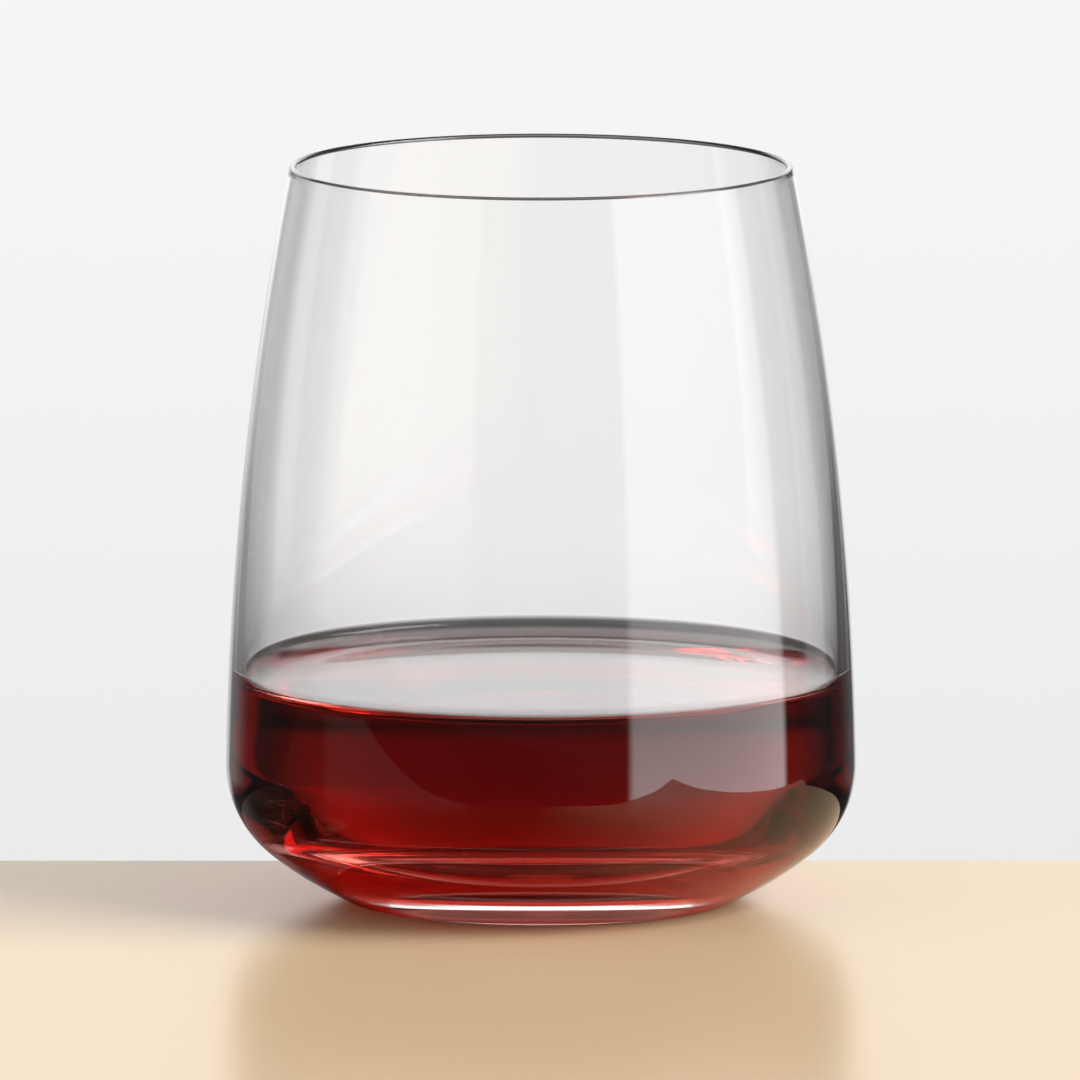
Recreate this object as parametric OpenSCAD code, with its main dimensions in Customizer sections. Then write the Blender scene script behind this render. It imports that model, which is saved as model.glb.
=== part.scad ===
// Stemless wine glass with a serving of red wine, at real size.
// It is one blown piece of clear crystal glass, and the wine that lies in it.
// The origin is the centre of the ring that the glass stands on, on the table.
// +Z is up and is the axis of the bowl. Both pieces are turned about it.

/* [Outside of the glass] */
// Height from the table to the top of the lip
glass_h = 109; // [96:0.5:118]
// Widest diameter of the bowl
bowl_d = 93.1; // [90:0.1:100]
// Height of the widest ring above the table
widest_h = 20.3; // [18:0.1:26]
// Diameter of the mouth, over the outside of the lip
mouth_d = 74.2; // [66:0.1:77]
// Radius of the long arc that the side follows from the shoulder to the lip
side_arc_r = 502; // [450:1:900]
// Radius of the tight curve at the shoulder
shoulder_r = 16.5; // [13:0.1:17.5]
// Radius of the shallow arc between the shoulder and the heel
under_arc_r = 56; // [40:1:150]
// Radius of the heel that rolls onto the table
heel_r = 3.5; // [2:0.1:6]
// Outer diameter of the flat ring that touches the table
foot_d = 54.5; // [50:0.1:57]

/* [Thickness and inside of the glass] */
// Thickness of the glass at the lip, which is polished to a half round
lip_t = 1; // [0.7:0.05:1.6]
// Thickness of the wall beside the shoulder
shoulder_t = 2.55; // [1.6:0.05:3.5]
// Thickness of the heavy base, from the table plane to the flat inside floor
base_t = 9; // [6:0.1:10]
// Diameter of the flat middle of the inside floor
flat_d = 40; // [30:0.5:46]
// Radius of the wide arc on which the floor swings up from its flat middle
floor_arc_r = 45; // [30:1:60]
// Radius of the long arc that the inside of the wall follows
inside_arc_r = 400; // [350:1:700]
// Radius of the tight curve between the floor's wide arc and the inside of the wall
corner_r = 11.4; // [8:0.1:13]

/* [Underside of the glass] */
// Width of the flat ring that touches the table
ring_w = 3.2; // [1:0.1:6]
// Depth of the hollow under the base, at the axis
hollow_h = 0.4; // [0.2:0.05:1.2]

/* [Wine] */
// Height of the wine's level above the table
wine_h = 31.3; // [26:0.1:80]
// How far the wine climbs the glass above its level at the edge
climb_h = 3; // [1:0.1:3.4]
// Radius of the hollow curve where the wine climbs the glass
climb_r = 4; // [3.6:0.1:7]

/* [Hidden] */

$fn = 180;

// Steps along each curve of the outlines
side_steps = 30;
shoulder_steps = 24;
under_steps = 8;
heel_steps = 10;
lip_steps = 12;
floor_steps = 12;
hollow_steps = 8;
climb_steps = 12;

bowl_radius = bowl_d / 2;
mouth_radius = mouth_d / 2;
ring_outer_radius = foot_d / 2;
ring_inner_radius = ring_outer_radius - ring_w;
lip_radius = lip_t / 2;

// Circles that the outlines roll round, each as [distance from the axis, height, radius]
heel = [ring_outer_radius, heel_r, heel_r];
shoulder = [bowl_radius - shoulder_r, widest_h, shoulder_r];
lip = [mouth_radius - lip_radius, glass_h - lip_radius, lip_radius];

// The floor is flat in the middle, then swings up on a wide arc that the corner touches from inside
flat_radius = flat_d / 2;
floor_centre = [flat_radius, base_t + floor_arc_r];
corner_reach = bowl_radius - shoulder_t - corner_r;
corner_drop = sqrt(pow(floor_arc_r - corner_r, 2) - pow(corner_reach - flat_radius, 2));
corner = [corner_reach, floor_centre.y - corner_drop, corner_r];

// Centre of an arc of the given radius that touches two circles.
// A positive radius in a circle puts it inside the arc, and a negative one outside it.
function arc_centre(lower, upper, radius) =
    let (
        step = [upper.x - lower.x, upper.y - lower.y],
        gap = norm(step),
        to_lower = radius - lower.z,
        to_upper = radius - upper.z,
        along = (to_lower * to_lower - to_upper * to_upper + gap * gap) / (2 * gap),
        across = sqrt(to_lower * to_lower - along * along)
    )
    [lower.x, lower.y] + step * along / gap + [-step.y, step.x] * across / gap;

// Direction from one point to another, in degrees from the outward direction
function heading(start, end) = atan2(end.y - start.y, end.x - start.x);

// Points along an arc, with both its ends
function arc_points(centre, radius, first, last, steps) =
    [for (i = [0:steps]) let (a = first + (last - first) * i / steps)
        [centre.x + radius * cos(a), centre.y + radius * sin(a)]];

under_centre = arc_centre(heel, shoulder, under_arc_r);
side_centre = arc_centre(shoulder, lip, side_arc_r);
lip_outside = [lip.x, lip.y, -lip_radius];
inside_centre = arc_centre(corner, lip_outside, inside_arc_r);

heel_angle = heading(under_centre, heel);
under_angle = heading(under_centre, shoulder);
shoulder_angle = heading(side_centre, shoulder);
side_angle = heading(side_centre, lip);
inside_lip_angle = heading(inside_centre, lip);
corner_angle = heading(inside_centre, corner);
floor_angle = heading(floor_centre, corner);

// Height at which the wine's edge meets the glass, and its place on the inside wall
edge_h = wine_h + climb_h;
edge_angle = asin((edge_h - inside_centre.y) / inside_arc_r);
edge_radius = inside_centre.x + inside_arc_r * cos(edge_angle);

// The hollow curve of the wine's edge is level where it leaves the flat surface
climb_angle = asin(climb_h / climb_r - 1);
climb_centre = [edge_radius - climb_r * cos(climb_angle), wine_h + climb_r];

// The hollow under the base is part of a ball that meets the ring's inner edge
hollow_r = (pow(ring_inner_radius, 2) + pow(hollow_h, 2)) / (2 * hollow_h);
hollow_centre = [0, hollow_h - hollow_r];
hollow_angle = heading(hollow_centre, [ring_inner_radius, 0]);

// Outside of the glass, from the ring on the table up to the lip and over it
outside_points = concat(
    arc_points(heel, heel_r, -90, heel_angle, heel_steps),
    arc_points(under_centre, under_arc_r, heel_angle, under_angle, under_steps),
    arc_points(shoulder, shoulder_r, under_angle, shoulder_angle, shoulder_steps),
    arc_points(side_centre, side_arc_r, shoulder_angle, side_angle, side_steps),
    arc_points(lip, lip_radius, side_angle, 180 + inside_lip_angle, lip_steps)
);

// Inside wall above the wine's edge, from the lip down
dry_points = arc_points(inside_centre, inside_arc_r, inside_lip_angle, edge_angle, side_steps);

// Inside wall, corner and floor that the wine wets, from its edge down to the axis
wet_points = concat(
    arc_points(inside_centre, inside_arc_r, edge_angle, corner_angle, under_steps),
    arc_points(corner, corner_r, corner_angle, floor_angle, shoulder_steps),
    arc_points(floor_centre, floor_arc_r, floor_angle, -90, floor_steps),
    [[0, base_t]]
);

// Underside of the base, from the axis out to the ring
hollow_points = arc_points(hollow_centre, hollow_r, 90, hollow_angle, hollow_steps);

// Edge of the wine, from the flat surface up to the glass
climb_points = arc_points(climb_centre, climb_r, -90, climb_angle, climb_steps);

// Drops each point that repeats the one before it
function without_repeats(points) =
    [for (i = [0:len(points) - 1])
        if (i == 0 || norm(points[i] - points[max(i - 1, 0)]) > lip_t / 1000) points[i]];

// The bowl: one turned piece of glass, open at the top
module glass() {
    color([0.90, 0.95, 0.95, 0.35])
        rotate_extrude()
            polygon(without_repeats(concat(outside_points, dry_points, wet_points, hollow_points)));
}

// The wine: it fills the bowl up to its level and climbs the glass at its edge
module wine() {
    color([0.38, 0.02, 0.04])
        rotate_extrude()
            polygon(without_repeats(concat([[0, wine_h]], climb_points, wet_points)));
}

glass();
wine();
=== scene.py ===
# %% [markdown]
# # A stemless glass of red wine
#
# This lesson dresses a stemless wine glass that already exists as a solid model. The model gives
# two turned solids, the glass and the wine, in metres, with the foot on z = 0 and the axis on Z.
# Here both are remade as fine lathe meshes, so that light bends through them without facets,
# and they get clear materials, a small studio and a camera with a very long lens.
#
# Glass has no colour of its own to paint. All that the eye reads as glass is the studio, bent
# and mirrored, so half of this lesson is shape and the other half is what stands around it.

# %% Load the fixed frame
import math

import bmesh
import bpy
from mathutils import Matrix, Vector


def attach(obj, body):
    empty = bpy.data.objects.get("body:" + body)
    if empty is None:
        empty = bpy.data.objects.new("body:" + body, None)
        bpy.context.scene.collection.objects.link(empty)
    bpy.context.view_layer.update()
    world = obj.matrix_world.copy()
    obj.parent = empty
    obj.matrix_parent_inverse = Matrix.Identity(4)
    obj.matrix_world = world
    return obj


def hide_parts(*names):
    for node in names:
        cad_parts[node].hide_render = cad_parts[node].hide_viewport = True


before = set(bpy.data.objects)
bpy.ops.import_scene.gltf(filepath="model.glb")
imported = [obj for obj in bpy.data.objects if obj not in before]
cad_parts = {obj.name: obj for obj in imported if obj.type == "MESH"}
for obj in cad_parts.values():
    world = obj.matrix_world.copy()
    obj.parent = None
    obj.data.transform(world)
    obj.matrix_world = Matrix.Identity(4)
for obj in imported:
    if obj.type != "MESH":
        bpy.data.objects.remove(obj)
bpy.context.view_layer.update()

print("nodes:", sorted(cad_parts))

# %% [markdown]
# ## The sizes of the glass
#
# The real glass is blown into a mould, so its outline is a chain of arcs that run into each other
# without a corner: heel, shallow underside, tight shoulder, long side, and the half round of the
# lip. A traced outline would need hundreds of points. The chain needs only the radii and a few
# places that a ruler would give, and stays smooth at any resolution, so it is built that way.

# %% Sizes, in metres
MM = 0.001

glass_height = 109 * MM
bowl_radius = 93.1 / 2 * MM
widest_height = 20.3 * MM
mouth_radius = 74.2 / 2 * MM
side_arc = 502 * MM
shoulder_arc = 16.5 * MM
under_arc = 56 * MM
heel_arc = 3.5 * MM
ring_outer = 54.5 / 2 * MM
ring_width = 3.2 * MM
hollow_depth = 0.4 * MM

lip_round = 0.5 * MM
shoulder_wall = 2.55 * MM
base_thickness = 9 * MM
inside_arc = 400 * MM
corner_arc = 11.4 * MM
floor_arc = 45 * MM
flat_radius = 20 * MM

wine_level = 31.3 * MM

print("the lip stands", glass_height / MM, "mm over the table")

# %% [markdown]
# ## Arcs that touch
#
# Two circles and a radius fix the arc that rolls over both of them. Its centre lies where a circle
# round the first centre meets a circle round the second, which is one line of school geometry.
# Drawing the arcs with curves and handles would also work, but handles don't promise that
# neighbours meet at the same slope, and glass shows every break of slope as a line of light.

# %% Arcs and their centres
def arc_centre(lower, upper, radius):
    """Centre of an arc that touches two circles (r, z, radius). A negative radius lies outside it."""
    step = Vector((upper[0] - lower[0], upper[1] - lower[1]))
    gap = step.length
    to_lower = radius - lower[2]
    to_upper = radius - upper[2]
    along = (to_lower ** 2 - to_upper ** 2 + gap ** 2) / (2 * gap)
    across = math.sqrt(to_lower ** 2 - along ** 2)
    side = Vector((-step.y, step.x))
    return Vector(lower[:2]) + step * (along / gap) + side * (across / gap)


def heading(start, end):
    """Direction from one point of the outline to another, in radians."""
    return math.atan2(end[1] - start[1], end[0] - start[0])


def arc(centre, radius, first, last, steps):
    """Points (r, z) along an arc, with both its ends."""
    turns = [first + (last - first) * i / steps for i in range(steps + 1)]
    return [(centre[0] + radius * math.cos(a), centre[1] + radius * math.sin(a)) for a in turns]


def joined(*runs):
    """Runs of points end to end, without the points that two runs share."""
    points = []
    for run in runs:
        points += [p for p in run if not points or math.dist(p, points[-1]) > lip_round / 1000]
    return points


heel = (ring_outer, heel_arc, heel_arc)
shoulder = (bowl_radius - shoulder_arc, widest_height, shoulder_arc)
lip = (mouth_radius - lip_round, glass_height - lip_round, lip_round)

# The floor is flat in the middle, then swings up on a wide arc that the corner touches from inside
floor_centre = Vector((flat_radius, base_thickness + floor_arc))
corner_reach = bowl_radius - shoulder_wall - corner_arc
corner_drop = math.sqrt((floor_arc - corner_arc) ** 2 - (corner_reach - flat_radius) ** 2)
corner = (corner_reach, floor_centre.y - corner_drop, corner_arc)

under_centre = arc_centre(heel, shoulder, under_arc)
side_centre = arc_centre(shoulder, lip, side_arc)
inside_centre = arc_centre(corner, (lip[0], lip[1], -lip_round), inside_arc)
corner_angle = heading(inside_centre, corner)
floor_angle = heading(floor_centre, corner)

print("the inside corner turns", round(corner[1] / MM, 1), "mm above the table")

# %% [markdown]
# ## Where the wine ends on the wall
#
# Wine wets glass, so it climbs the wall a little above its level. Over that edge lies a film,
# no thicker than paper, that runs out to nothing. The film is a wedge, and a wedge bends light
# down: it draws the soft dark band over the far edge of the wine. One could fake the band with
# a grey ring, but a real wedge also moves with the eye.

# %% Edge and film of the wine
climb_height = 2.4 * MM
film_height = 1.2 * MM
film_thickness = 0.1 * MM


def wall_place(height):
    """Angle on the inside arc, and distance from the axis, of the wall at a height."""
    angle = math.asin((height - inside_centre.y) / inside_arc)
    return angle, inside_centre.x + inside_arc * math.cos(angle)


edge_height = wine_level + climb_height
edge_angle, edge_radius = wall_place(edge_height)
film_angle = wall_place(edge_height + film_height)[0]

print("the wine meets the glass", round(edge_radius / MM, 2), "mm from the axis")

# %% [markdown]
# ## Turning an outline on a lathe
#
# Both pieces are bodies of revolution. The Screw modifier could turn a curve, but a mesh built
# ring by ring lets each band of faces carry a number, here called a mark, that a material can
# read later. A point on the axis becomes a single vertex with a fan of triangles, so that no
# face there is squeezed to nothing.
#
# All faces are shaded smooth. Only the knife edge where the film of wine ends is marked sharp,
# because a normal averaged over it would point along the edge and draw a dark line.

# %% A small lathe
STEPS_ROUND = 288
SHARP = math.radians(60)
ON_AXIS = 1e-7


def lathe(name, outline, marks):
    """Turn (r, z) points about Z. marks gives one number to each band between two points."""
    mesh = bpy.data.meshes.new(name)
    piece = bpy.data.objects.new(name, mesh)
    bpy.context.collection.objects.link(piece)
    bm = bmesh.new()
    mark = bm.faces.layers.float.new("mark")
    turns = [2 * math.pi * i / STEPS_ROUND for i in range(STEPS_ROUND)]
    rings = []
    for r, z in outline:
        if r < ON_AXIS:
            rings.append([bm.verts.new((0, 0, z))])
        else:
            rings.append([bm.verts.new((r * math.cos(t), r * math.sin(t), z)) for t in turns])
    for low, high, number in zip(rings, rings[1:], marks):
        for i in range(STEPS_ROUND):
            j = (i + 1) % STEPS_ROUND
            corners = [low[i % len(low)], low[j % len(low)], high[j % len(high)], high[i % len(high)]]
            corners = [v for k, v in enumerate(corners) if v not in corners[:k]]
            if len(corners) > 2:
                bm.faces.new(corners)[mark] = number
    bmesh.ops.recalc_face_normals(bm, faces=bm.faces)
    for face in bm.faces:
        face.smooth = True
    for edge in bm.edges:
        edge.smooth = edge.calc_face_angle(0) < SHARP
    bm.to_mesh(mesh)
    bm.free()
    print(name, "has", len(mesh.polygons), "faces")
    return piece


# %% [markdown]
# ## The glass
#
# The outline starts on the axis under the base, runs out over the shallow hollow and the flat ring
# that touches the table, up the outside, over the lip and down the inside to the floor. Where wine
# wets the inside, the bands get the mark 1, because light passes from glass to wine there and
# not from glass to air. One closed body with two finishes keeps the glass a true solid.

# %% Outline of the glass
WET_STEPS = 16
CORNER_STEPS = 40
SWING_STEPS = 24
LEVEL_STEPS = 12
FILM_STEPS = 12

hollow_arc = (ring_outer - ring_width) ** 2 / (2 * hollow_depth) + hollow_depth / 2
hollow_centre = (0, hollow_depth - hollow_arc)
hollow_angle = heading(hollow_centre, (ring_outer - ring_width, 0))
heel_angle = heading(under_centre, heel)
under_angle = heading(under_centre, shoulder)
shoulder_angle = heading(side_centre, shoulder)
side_angle = heading(side_centre, lip)
lip_angle = heading(inside_centre, lip)


def bottom_outline(grown):
    """Inside wall, corner and floor under the wine's edge, sunk into the glass by a length."""
    floor_height = base_thickness - grown
    level = [(flat_radius * (1 - i / LEVEL_STEPS), floor_height) for i in range(LEVEL_STEPS + 1)]
    return joined(
        arc(inside_centre, inside_arc + grown, edge_angle, corner_angle, WET_STEPS),
        arc(corner, corner_arc + grown, corner_angle, floor_angle, CORNER_STEPS),
        arc(floor_centre, floor_arc + grown, floor_angle, -math.pi / 2, SWING_STEPS),
        level,
    )


# The last number of each arc is its count of steps: most where the light bends most
dry_outline = joined(
    arc(hollow_centre, hollow_arc, math.pi / 2, hollow_angle, 14),
    arc(heel, heel_arc, -math.pi / 2, heel_angle, 20),
    arc(under_centre, under_arc, heel_angle, under_angle, 14),
    arc(shoulder, shoulder_arc, under_angle, shoulder_angle, 48),
    arc(side_centre, side_arc, shoulder_angle, side_angle, 56),
    arc(lip, lip_round, side_angle, math.pi + lip_angle, 24),
    arc(inside_centre, inside_arc, lip_angle, film_angle, 56),
)
wet_outline = joined(
    arc(inside_centre, inside_arc, film_angle, edge_angle, FILM_STEPS),
    bottom_outline(0),
)
print("points on the glass:", len(dry_outline), "dry and", len(wet_outline), "wet")

# %% Turn the glass
glass_outline = joined(dry_outline, wet_outline)
wet_bands = len(wet_outline) - 1
glass_marks = [0.0] * (len(glass_outline) - 1 - wet_bands) + [1.0] * wet_bands
glass = lathe("blown_glass", glass_outline, glass_marks)
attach(glass, "root")
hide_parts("glass")

# %% [markdown]
# ## The wine
#
# The edge of the wine follows a curve that weight and surface tension settle between them, and
# that curve is known exactly. It bends light hard, and it is the reason for the dark and bright
# lines round the edge of the wine, so a flat disc would not do.
#
# The wine's skin is drawn a hair's breadth inside the glass, and it alone bends the light that
# passes between the two. The mark on its bands tells the free surface, which lies against air,
# from the wetted skin. With a gap instead, the renderer would find a film of air there.

# %% Free surface of the wine
capillary_length = 2.27 * MM
CLIMB_STEPS = 40
FADE = 0.86


def reach(height):
    """Distance from an upright wall at which wine still stands this far above its level."""
    across = capillary_length * math.acosh(2 * capillary_length / height)
    return across - math.sqrt(4 * capillary_length ** 2 - height ** 2)


climb_outline = []
for i in reversed(range(CLIMB_STEPS)):
    above = climb_height * FADE ** i
    r = edge_radius - film_thickness - (reach(above) - reach(climb_height))
    climb_outline.append((r, wine_level + above))
print("the surface lies flat out to", round(climb_outline[0][0] / MM, 1), "mm from the axis")

# %% Film and skin of the wine
skin_overlap = 0.02 * MM

film_outline = []
film_skin = []
for i in range(1, FILM_STEPS + 1):
    share = i / FILM_STEPS
    height = edge_height + film_height * share
    wall = wall_place(height)[1]
    film_outline.append((wall - film_thickness * (1 - share) ** 2, height))
    film_skin.append((wall + skin_overlap * (1 - share ** 4), height))
free_outline = joined([(0, wine_level)], climb_outline, film_outline)
print("the film ends", round(film_outline[-1][1] / MM, 1), "mm above the table")

# %% Turn the wine
wine_outline = joined(free_outline, film_skin[::-1], bottom_outline(skin_overlap))
free_bands = len(free_outline) - 1
wine_marks = [1.0] * free_bands + [0.0] * (len(wine_outline) - 1 - free_bands)
wine = lathe("red_wine", wine_outline, wine_marks)
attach(wine, "root")
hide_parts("wine")

# %% [markdown]
# ## Material: clear crystal glass
#
# A transmissive Principled shader with no roughness is all that polished crystal needs. The faces
# under the wine get a second copy with an index of 1, which neither bends nor mirrors, because
# the wine's own skin stands for the step from glass to wine. Leaving these faces out would do
# the same, but the glass would then be an open sheet.

# %% Crystal glass
GLASS_INDEX = 1.52


def shader_of(material):
    material.use_nodes = True
    nodes = material.node_tree.nodes
    return nodes, material.node_tree.links, nodes["Principled BSDF"]


def clear_material(name, index):
    material = bpy.data.materials.new(name)
    nodes, links, shader = shader_of(material)
    shader.inputs["Base Color"].default_value = (1, 1, 1, 1)
    shader.inputs["Roughness"].default_value = 0.0
    shader.inputs["IOR"].default_value = index
    shader.inputs["Transmission Weight"].default_value = 1.0
    return material


glass.data.materials.append(clear_material("clear_crystal", GLASS_INDEX))
glass.data.materials.append(clear_material("wetted_crystal", 1.0))
marks = glass.data.attributes["mark"].data
for face in glass.data.polygons:
    face.material_index = int(marks[face.index].value)
print("wetted faces:", sum(face.material_index == 1 for face in glass.data.polygons))

# %% [markdown]
# ## Material: red wine
#
# Wine is clear but swallows green and blue light within a few millimetres. A tinted surface would
# look the same in a thin edge and a deep bowl. A volume that absorbs gets darker with depth, as
# the real wine does, so the colour is left to the volume and the surface stays uncoloured.
#
# A volume needs one material round the whole body, so the index is what changes: 1.34 on the free
# surface, and wine over glass, which is less than 1, on the wetted skin.

# %% Red wine
WINE_INDEX = 1.34
wine_colour = (0.78, 0.12, 0.0, 1)
wine_density = 130


def wine_material():
    material = clear_material("red_wine", WINE_INDEX)
    nodes, links, shader = shader_of(material)
    mark = nodes.new("ShaderNodeAttribute")
    mark.attribute_name = "mark"
    index = nodes.new("ShaderNodeMapRange")
    index.inputs["To Min"].default_value = WINE_INDEX / GLASS_INDEX
    index.inputs["To Max"].default_value = WINE_INDEX
    links.new(mark.outputs["Fac"], index.inputs["Value"])
    links.new(index.outputs["Result"], shader.inputs["IOR"])
    tint = nodes.new("ShaderNodeVolumeAbsorption")
    tint.inputs["Color"].default_value = wine_colour
    tint.inputs["Density"].default_value = wine_density
    links.new(tint.outputs["Volume"], nodes["Material Output"].inputs["Volume"])
    return material


wine.data.materials.append(wine_material())
print("wine material:", wine.data.materials[0].name)

# %% [markdown]
# ## The camera
#
# The rim and the wine's edge are nearly the same ellipse in the photograph, although one lies far
# above the other. Only a camera that stands metres away sees that, so the lens is very long.

# %% Camera
camera_distance = 5.0
camera_rise = math.radians(8.02)
aim_height = 53.3 * MM
aim_side = -0.15 * MM
frame_width = 159.2 * MM
SENSOR = 36.0

camera_data = bpy.data.cameras.new("camera")
camera_data.sensor_width = SENSOR
camera_data.lens = SENSOR * camera_distance / frame_width
camera_data.clip_end = 100
camera = bpy.data.objects.new("camera", camera_data)
bpy.context.collection.objects.link(camera)
target = Vector((aim_side, 0, aim_height))
back = Vector((0, -math.cos(camera_rise), math.sin(camera_rise)))
camera.location = target + back * camera_distance
camera.rotation_euler = (-back).to_track_quat("-Z", "Y").to_euler()
bpy.context.scene.camera = camera
print("lens", round(camera_data.lens), "mm")

# %% [markdown]
# ## The table top
#
# The glass stands near the rear edge of a plain pale board with eased edges. An endless floor
# would be simpler, but only the foot is seen against the table, and the bowl is seen against
# the wall behind it. That takes an edge just behind the glass.

# %% Table top
board_back = 38 * MM
board_front = 200 * MM
board_left = 420 * MM
board_right = 200 * MM
board_thick = 18 * MM
board_round = 1.5 * MM

board_mesh = bpy.data.meshes.new("board")
bm = bmesh.new()
bmesh.ops.create_cube(bm, size=1)
for v in bm.verts:
    v.co.x = board_right if v.co.x > 0 else -board_left
    v.co.y = board_back if v.co.y > 0 else -board_front
    v.co.z = 0 if v.co.z > 0 else -board_thick
bm.to_mesh(board_mesh)
bm.free()
board = bpy.data.objects.new("board", board_mesh)
bpy.context.collection.objects.link(board)
rounding = board.modifiers.new("round", "BEVEL")
rounding.width = board_round
rounding.segments = 4
print("board", board_left + board_right, "by", board_back + board_front, "m")

# %% [markdown]
# ## Material: the board
#
# A warm, pale colour and a faint satin sheen are enough for a background. The glass mirrors the
# board in its shoulder, strongly on the right, where the board lies in the light of the soft box,
# and hardly at all on the left. That light and shade is painted into the board's colour with the
# Light Path node: rays that come from a mirroring surface see the colour scaled down to a painted
# shade on the board's left side and up to a painted light on its right.

# %% Board material
board_colour = (0.80, 0.58, 0.35)
board_roughness = 0.24
board_sheen = 0.04
# Painted shade on the left and painted light on the right: scales of the board's colour that only
# rays from a mirroring surface see
mirrored_painted_shade = 0.12
mirrored_painted_light = 1.25


def set_range(map_range, start, end, low, high):
    map_range.interpolation_type = "SMOOTHSTEP"
    for name, number in (("From Min", start), ("From Max", end), ("To Min", low), ("To Max", high)):
        map_range.inputs[name].default_value = number


def board_material():
    material = bpy.data.materials.new("pale_board_painted_light")
    nodes, links, shader = shader_of(material)
    place = nodes.new("ShaderNodeSeparateXYZ")
    links.new(nodes.new("ShaderNodeTexCoord").outputs["Object"], place.inputs[0])
    # Painted light and shade across the board: the colour's scale runs from 10 mm left of the axis to
    # 60 mm right of it
    across = nodes.new("ShaderNodeMapRange")
    set_range(across, -10 * MM, 60 * MM, mirrored_painted_shade, mirrored_painted_light)
    links.new(place.outputs["X"], across.inputs["Value"])
    # Only glossy rays see the painted light and shade; all other rays see the plain board colour
    share = nodes.new("ShaderNodeMix")
    share.data_type = "FLOAT"
    share.inputs["A"].default_value = 1.0
    links.new(nodes.new("ShaderNodeLightPath").outputs["Is Glossy Ray"], share.inputs["Factor"])
    links.new(across.outputs["Result"], share.inputs["B"])
    colour = nodes.new("ShaderNodeVectorMath")
    colour.operation = "SCALE"
    colour.inputs[0].default_value = board_colour
    links.new(share.outputs["Result"], colour.inputs["Scale"])
    links.new(colour.outputs["Vector"], shader.inputs["Base Color"])
    shader.inputs["Roughness"].default_value = board_roughness
    shader.inputs["Specular IOR Level"].default_value = board_sheen
    return material


board.data.materials.append(board_material())
print("board material:", board.data.materials[0].name)

# %% [markdown]
# ## The studio
#
# Glass is lit by what stands round it. A white sweep fills the space behind, dark gaps on both
# sides of it draw the dark edges of the bowl, and tall soft boxes stand further round. Lamps and
# sheets of card could stand there as objects. Here all of it is painted on the world by
# direction, which is soft without noise, and stays put when the camera walks round the glass.
#
# Two angles name a direction: turn, in degrees to the right of the middle of the sweep, and
# rise, in degrees above the horizon.

# %% A world to paint on
world = bpy.data.worlds.new("studio")
bpy.context.scene.world = world
world.use_nodes = True
tree = world.node_tree
tree.nodes.clear()


def node(kind, **settings):
    made = tree.nodes.new(kind)
    for key, value in settings.items():
        setattr(made, key, value)
    return made


def calculate(operation, *values):
    """A Math node whose inputs are numbers or other outputs."""
    made = node("ShaderNodeMath", operation=operation)
    for socket, value in zip(made.inputs, values):
        if isinstance(value, (int, float)):
            socket.default_value = value
        else:
            tree.links.new(value, socket)
    return made.outputs[0]


def chain(operation, first, *others):
    """The same operation over any number of values."""
    for other in others:
        first = calculate(operation, first, other)
    return first


def ramp(value, start, end, low=0.0, high=1.0):
    """Smooth step of a value from low to high between start and end."""
    made = node("ShaderNodeMapRange")
    set_range(made, start, end, low, high)
    tree.links.new(value, made.inputs["Value"])
    return made.outputs["Result"]


print("world:", world.name)

# %% Turn and rise of a direction
split = node("ShaderNodeSeparateXYZ")
tree.links.new(node("ShaderNodeTexCoord").outputs["Generated"], split.inputs[0])
east, north, up = split.outputs
turn = calculate("MULTIPLY", calculate("ARCTAN2", east, north), math.degrees(1))
left_turn = calculate("MULTIPLY", turn, -1.0)
rise = calculate("MULTIPLY", calculate("ARCSINE", up), math.degrees(1))
path = node("ShaderNodeLightPath")
through = path.outputs["Is Transmission Ray"]
print("studio nodes:", len(tree.nodes))

# %% [markdown]
# ## The white sweep
#
# The wine is seen against the foot of the sweep, from 10 degrees under the horizon up to it, and
# its surface mirrors the part above. So the sweep has one level below, which sets the red of the
# wine, and gets brighter upwards, which sets the grey of the surface. Under the sweep the studio
# is dark: that is what the film of wine shows as its dark band.

# %% Sweep
right_width = 40
left_width = 46
side_soft = 20
right_gap = 0.14
left_gap = 0.04
right_side = ramp(turn, right_width, right_width - side_soft, right_gap, 1.0)
left_side = ramp(left_turn, left_width, left_width - side_soft, left_gap, 1.0)

foot_light = 0.92
sweep_peak = 1.8
sweep_top = 22
over_light = 0.1
height = ramp(rise, -2, 10, foot_light, sweep_peak)
over = ramp(rise, sweep_top + 5, sweep_top, over_light, 1.0)

# A faint glow lies far below the foot of the sweep
under_light = 0.07
low_light = 0.25
low_end = -44
low_glow = chain("MULTIPLY", ramp(rise, -22, -34, 0.0, low_light), ramp(rise, low_end - 8, low_end))
under = calculate("MAXIMUM", ramp(rise, -13, -9.3, under_light, 1.0), low_glow)

shape = chain("MULTIPLY", right_side, left_side, over, under, height)
print("the sweep spans", right_width + left_width, "degrees")

# %% [markdown]
# ## Dark edges
#
# Near the edge of an empty bowl light runs along inside the wall and leaves it sideways, so the
# edge shows the dark card beside the sweep. The wine looks past the same place and has to
# stay red, though. The two are told apart by the number of surfaces that light has crossed,
# which Light Path gives as Ray Depth: four for the empty bowl, more where there is wine.

# %% Dark card beside the sweep
# Halfway between the four surfaces of an empty bowl and the five or more of a bowl with wine
EMPTY_BOWL = 4.5
right_edge = 11
left_edge = 15
edge_soft = 6
right_dark = 0.85
left_dark = 0.65
near = calculate(
    "MULTIPLY",
    ramp(path.outputs["Ray Depth"], EMPTY_BOWL + 0.1, EMPTY_BOWL - 0.1),
    ramp(rise, 6, 2),
)
aside = calculate(
    "MAXIMUM",
    ramp(turn, right_edge, right_edge + edge_soft, 0.0, right_dark),
    ramp(left_turn, left_edge, left_edge + edge_soft, 0.0, left_dark),
)
kept = calculate("SUBTRACT", 1.0, calculate("MULTIPLY", near, aside))

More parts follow.
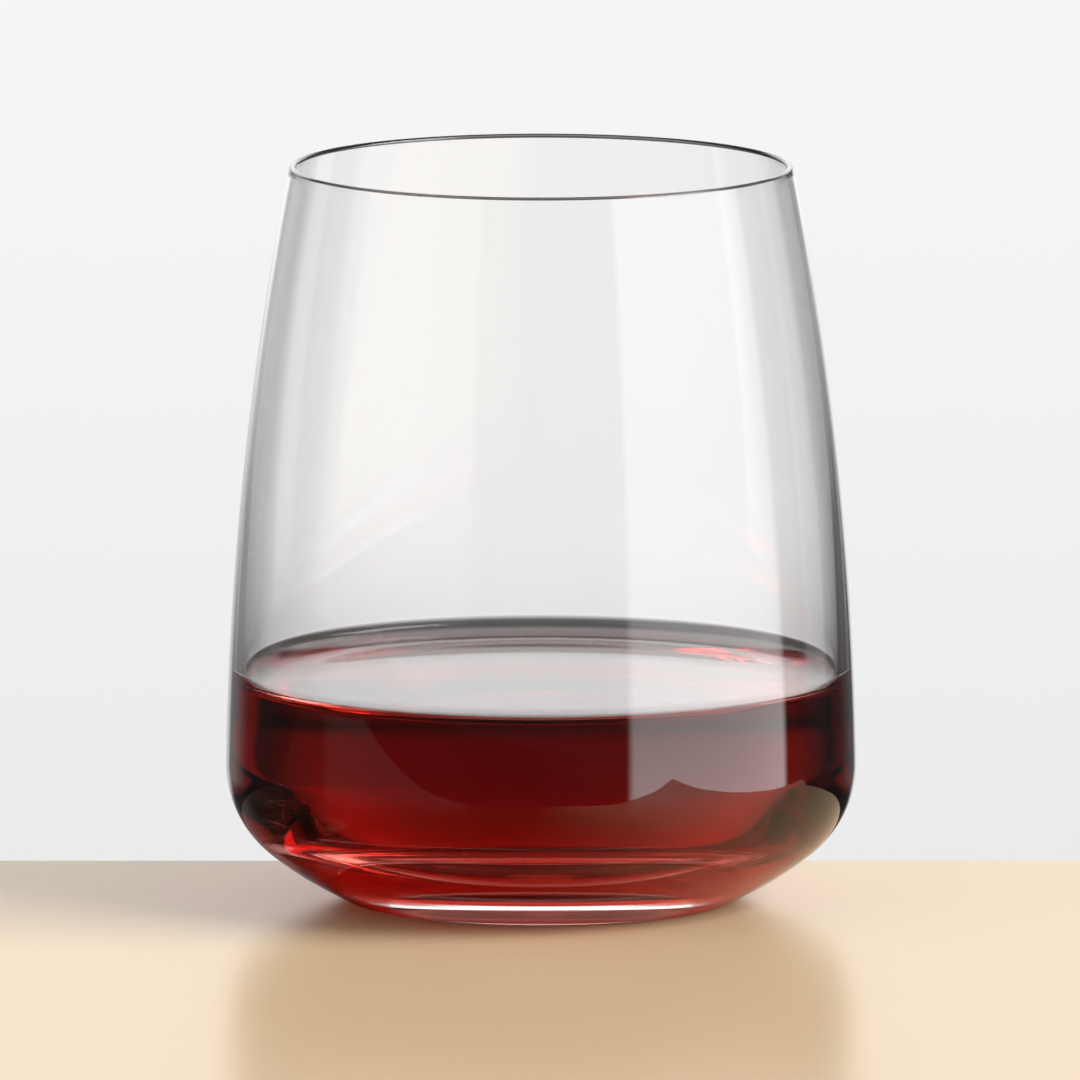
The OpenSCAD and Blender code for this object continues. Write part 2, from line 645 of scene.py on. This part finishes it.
# Matt surfaces get less of the sweep, so that the board keeps its shadow
matt_share = 0.4
direct = calculate("MAXIMUM", through, path.outputs["Is Glossy Ray"])
sweep = chain("MULTIPLY", shape, kept, ramp(direct, 0, 1, matt_share, 1.0))
print("dark from", right_edge, "degrees on the right and", left_edge, "on the left")

# %% [markdown]
# ## Soft boxes
#
# The tall bright pane on the right of the bowl is a soft box beside the camera, and a fainter
# one on the left answers it. A wide key over the right box lights the board and lays the shadow
# of the glass to the left. Light that comes through the glass finds the right box dimmer, or it
# would burn out when the glass is seen from the left.

# %% Soft boxes
def panel(angle, first, last, low, high, soft=2.0):
    """A soft-edged window in the studio between two turns and two rises, in degrees."""
    return chain(
        "MULTIPLY",
        ramp(angle, first - soft, first + soft),
        ramp(angle, last + soft, last - soft),
        ramp(rise, low - soft, low + soft),
        ramp(rise, high + soft, high - soft),
    )


box_foot = 4.6
box_head = 1.8
box_through = 0.1
box_light = calculate(
    "MULTIPLY", ramp(rise, -8, 1, box_foot, box_head), ramp(through, 0, 1, 1.0, box_through)
)
right_box = calculate("MULTIPLY", panel(turn, 79, 147, -11, 22), box_light)
left_light = 0.5
left_box = calculate("MULTIPLY", panel(left_turn, 94, 153, 0, 55), left_light)
key_light = 9.0
key_soft = 5.0
key = calculate("MULTIPLY", panel(turn, 84, 134, 20, 48, key_soft), key_light)
boxes = chain("ADD", right_box, left_box, key)
print("the key is", round(key_light / sweep_peak, 1), "times as bright as the sweep")

# %% [markdown]
# ## Light that comes through the glass
#
# Seen from the side or from behind, a clear glass shows the pale backdrop too, so light that
# comes through it finds a fill there. Two narrow windows further round the sweep give the
# outer edges of the wine their red. A little light comes from above for everything.

# %% Fill, side windows and top
front_fill = 0.6
fill = ramp(calculate("ABSOLUTE", turn), 78, 86, 0.0, front_fill)
right_window_light = 0.55
left_window_light = 0.165
right_window = calculate("MULTIPLY", panel(turn, 44, 60, -30, 12), right_window_light)
left_window = calculate("MULTIPLY", panel(left_turn, 48, 62, -30, 12), left_window_light)
beyond = calculate("MULTIPLY", chain("ADD", fill, right_window, left_window), through)

top_light = 0.30
top_through = 0.35
from_above = ramp(rise, -20, 60, 0.02, top_light)
top = calculate("MULTIPLY", from_above, ramp(through, 0, 1, 1.0, top_through))
total = chain("ADD", sweep, boxes, beyond, top)
print("studio nodes:", len(tree.nodes))

# %% [markdown]
# ## The backdrop that the camera sees
#
# The camera sees a plain pale wall that is a shade darker towards the table. Only camera rays
# get it, so the wall can be as pale as wanted and adds no light to the object.

# %% Backdrop
wall_low = 0.82
wall_high = 0.92
backdrop = ramp(rise, -9.0, -7.0, wall_low, wall_high)
seen = node("ShaderNodeMix", data_type="FLOAT")
tree.links.new(path.outputs["Is Camera Ray"], seen.inputs["Factor"])
tree.links.new(total, seen.inputs["A"])
tree.links.new(backdrop, seen.inputs["B"])
surface = node("ShaderNodeBackground")
surface.inputs["Color"].default_value = (1, 1, 1, 1)
tree.links.new(seen.outputs["Result"], surface.inputs["Strength"])
tree.links.new(surface.outputs[0], node("ShaderNodeOutputWorld").inputs["Surface"])
bpy.context.scene.view_settings.view_transform = "Standard"
print("the world's output is", surface.name)

# %% [markdown]
# ## Light paths
#
# A ray crosses up to eight skins on its way through both walls and the wine, and some bounce
# inside the wall. Too few bounces would show as black patches.

# %% Light paths
cycles = bpy.context.scene.cycles
cycles.max_bounces = 32
cycles.transmission_bounces = 32
cycles.glossy_bounces = 16
cycles.transparent_max_bounces = 32
print("bounces:", cycles.max_bounces)
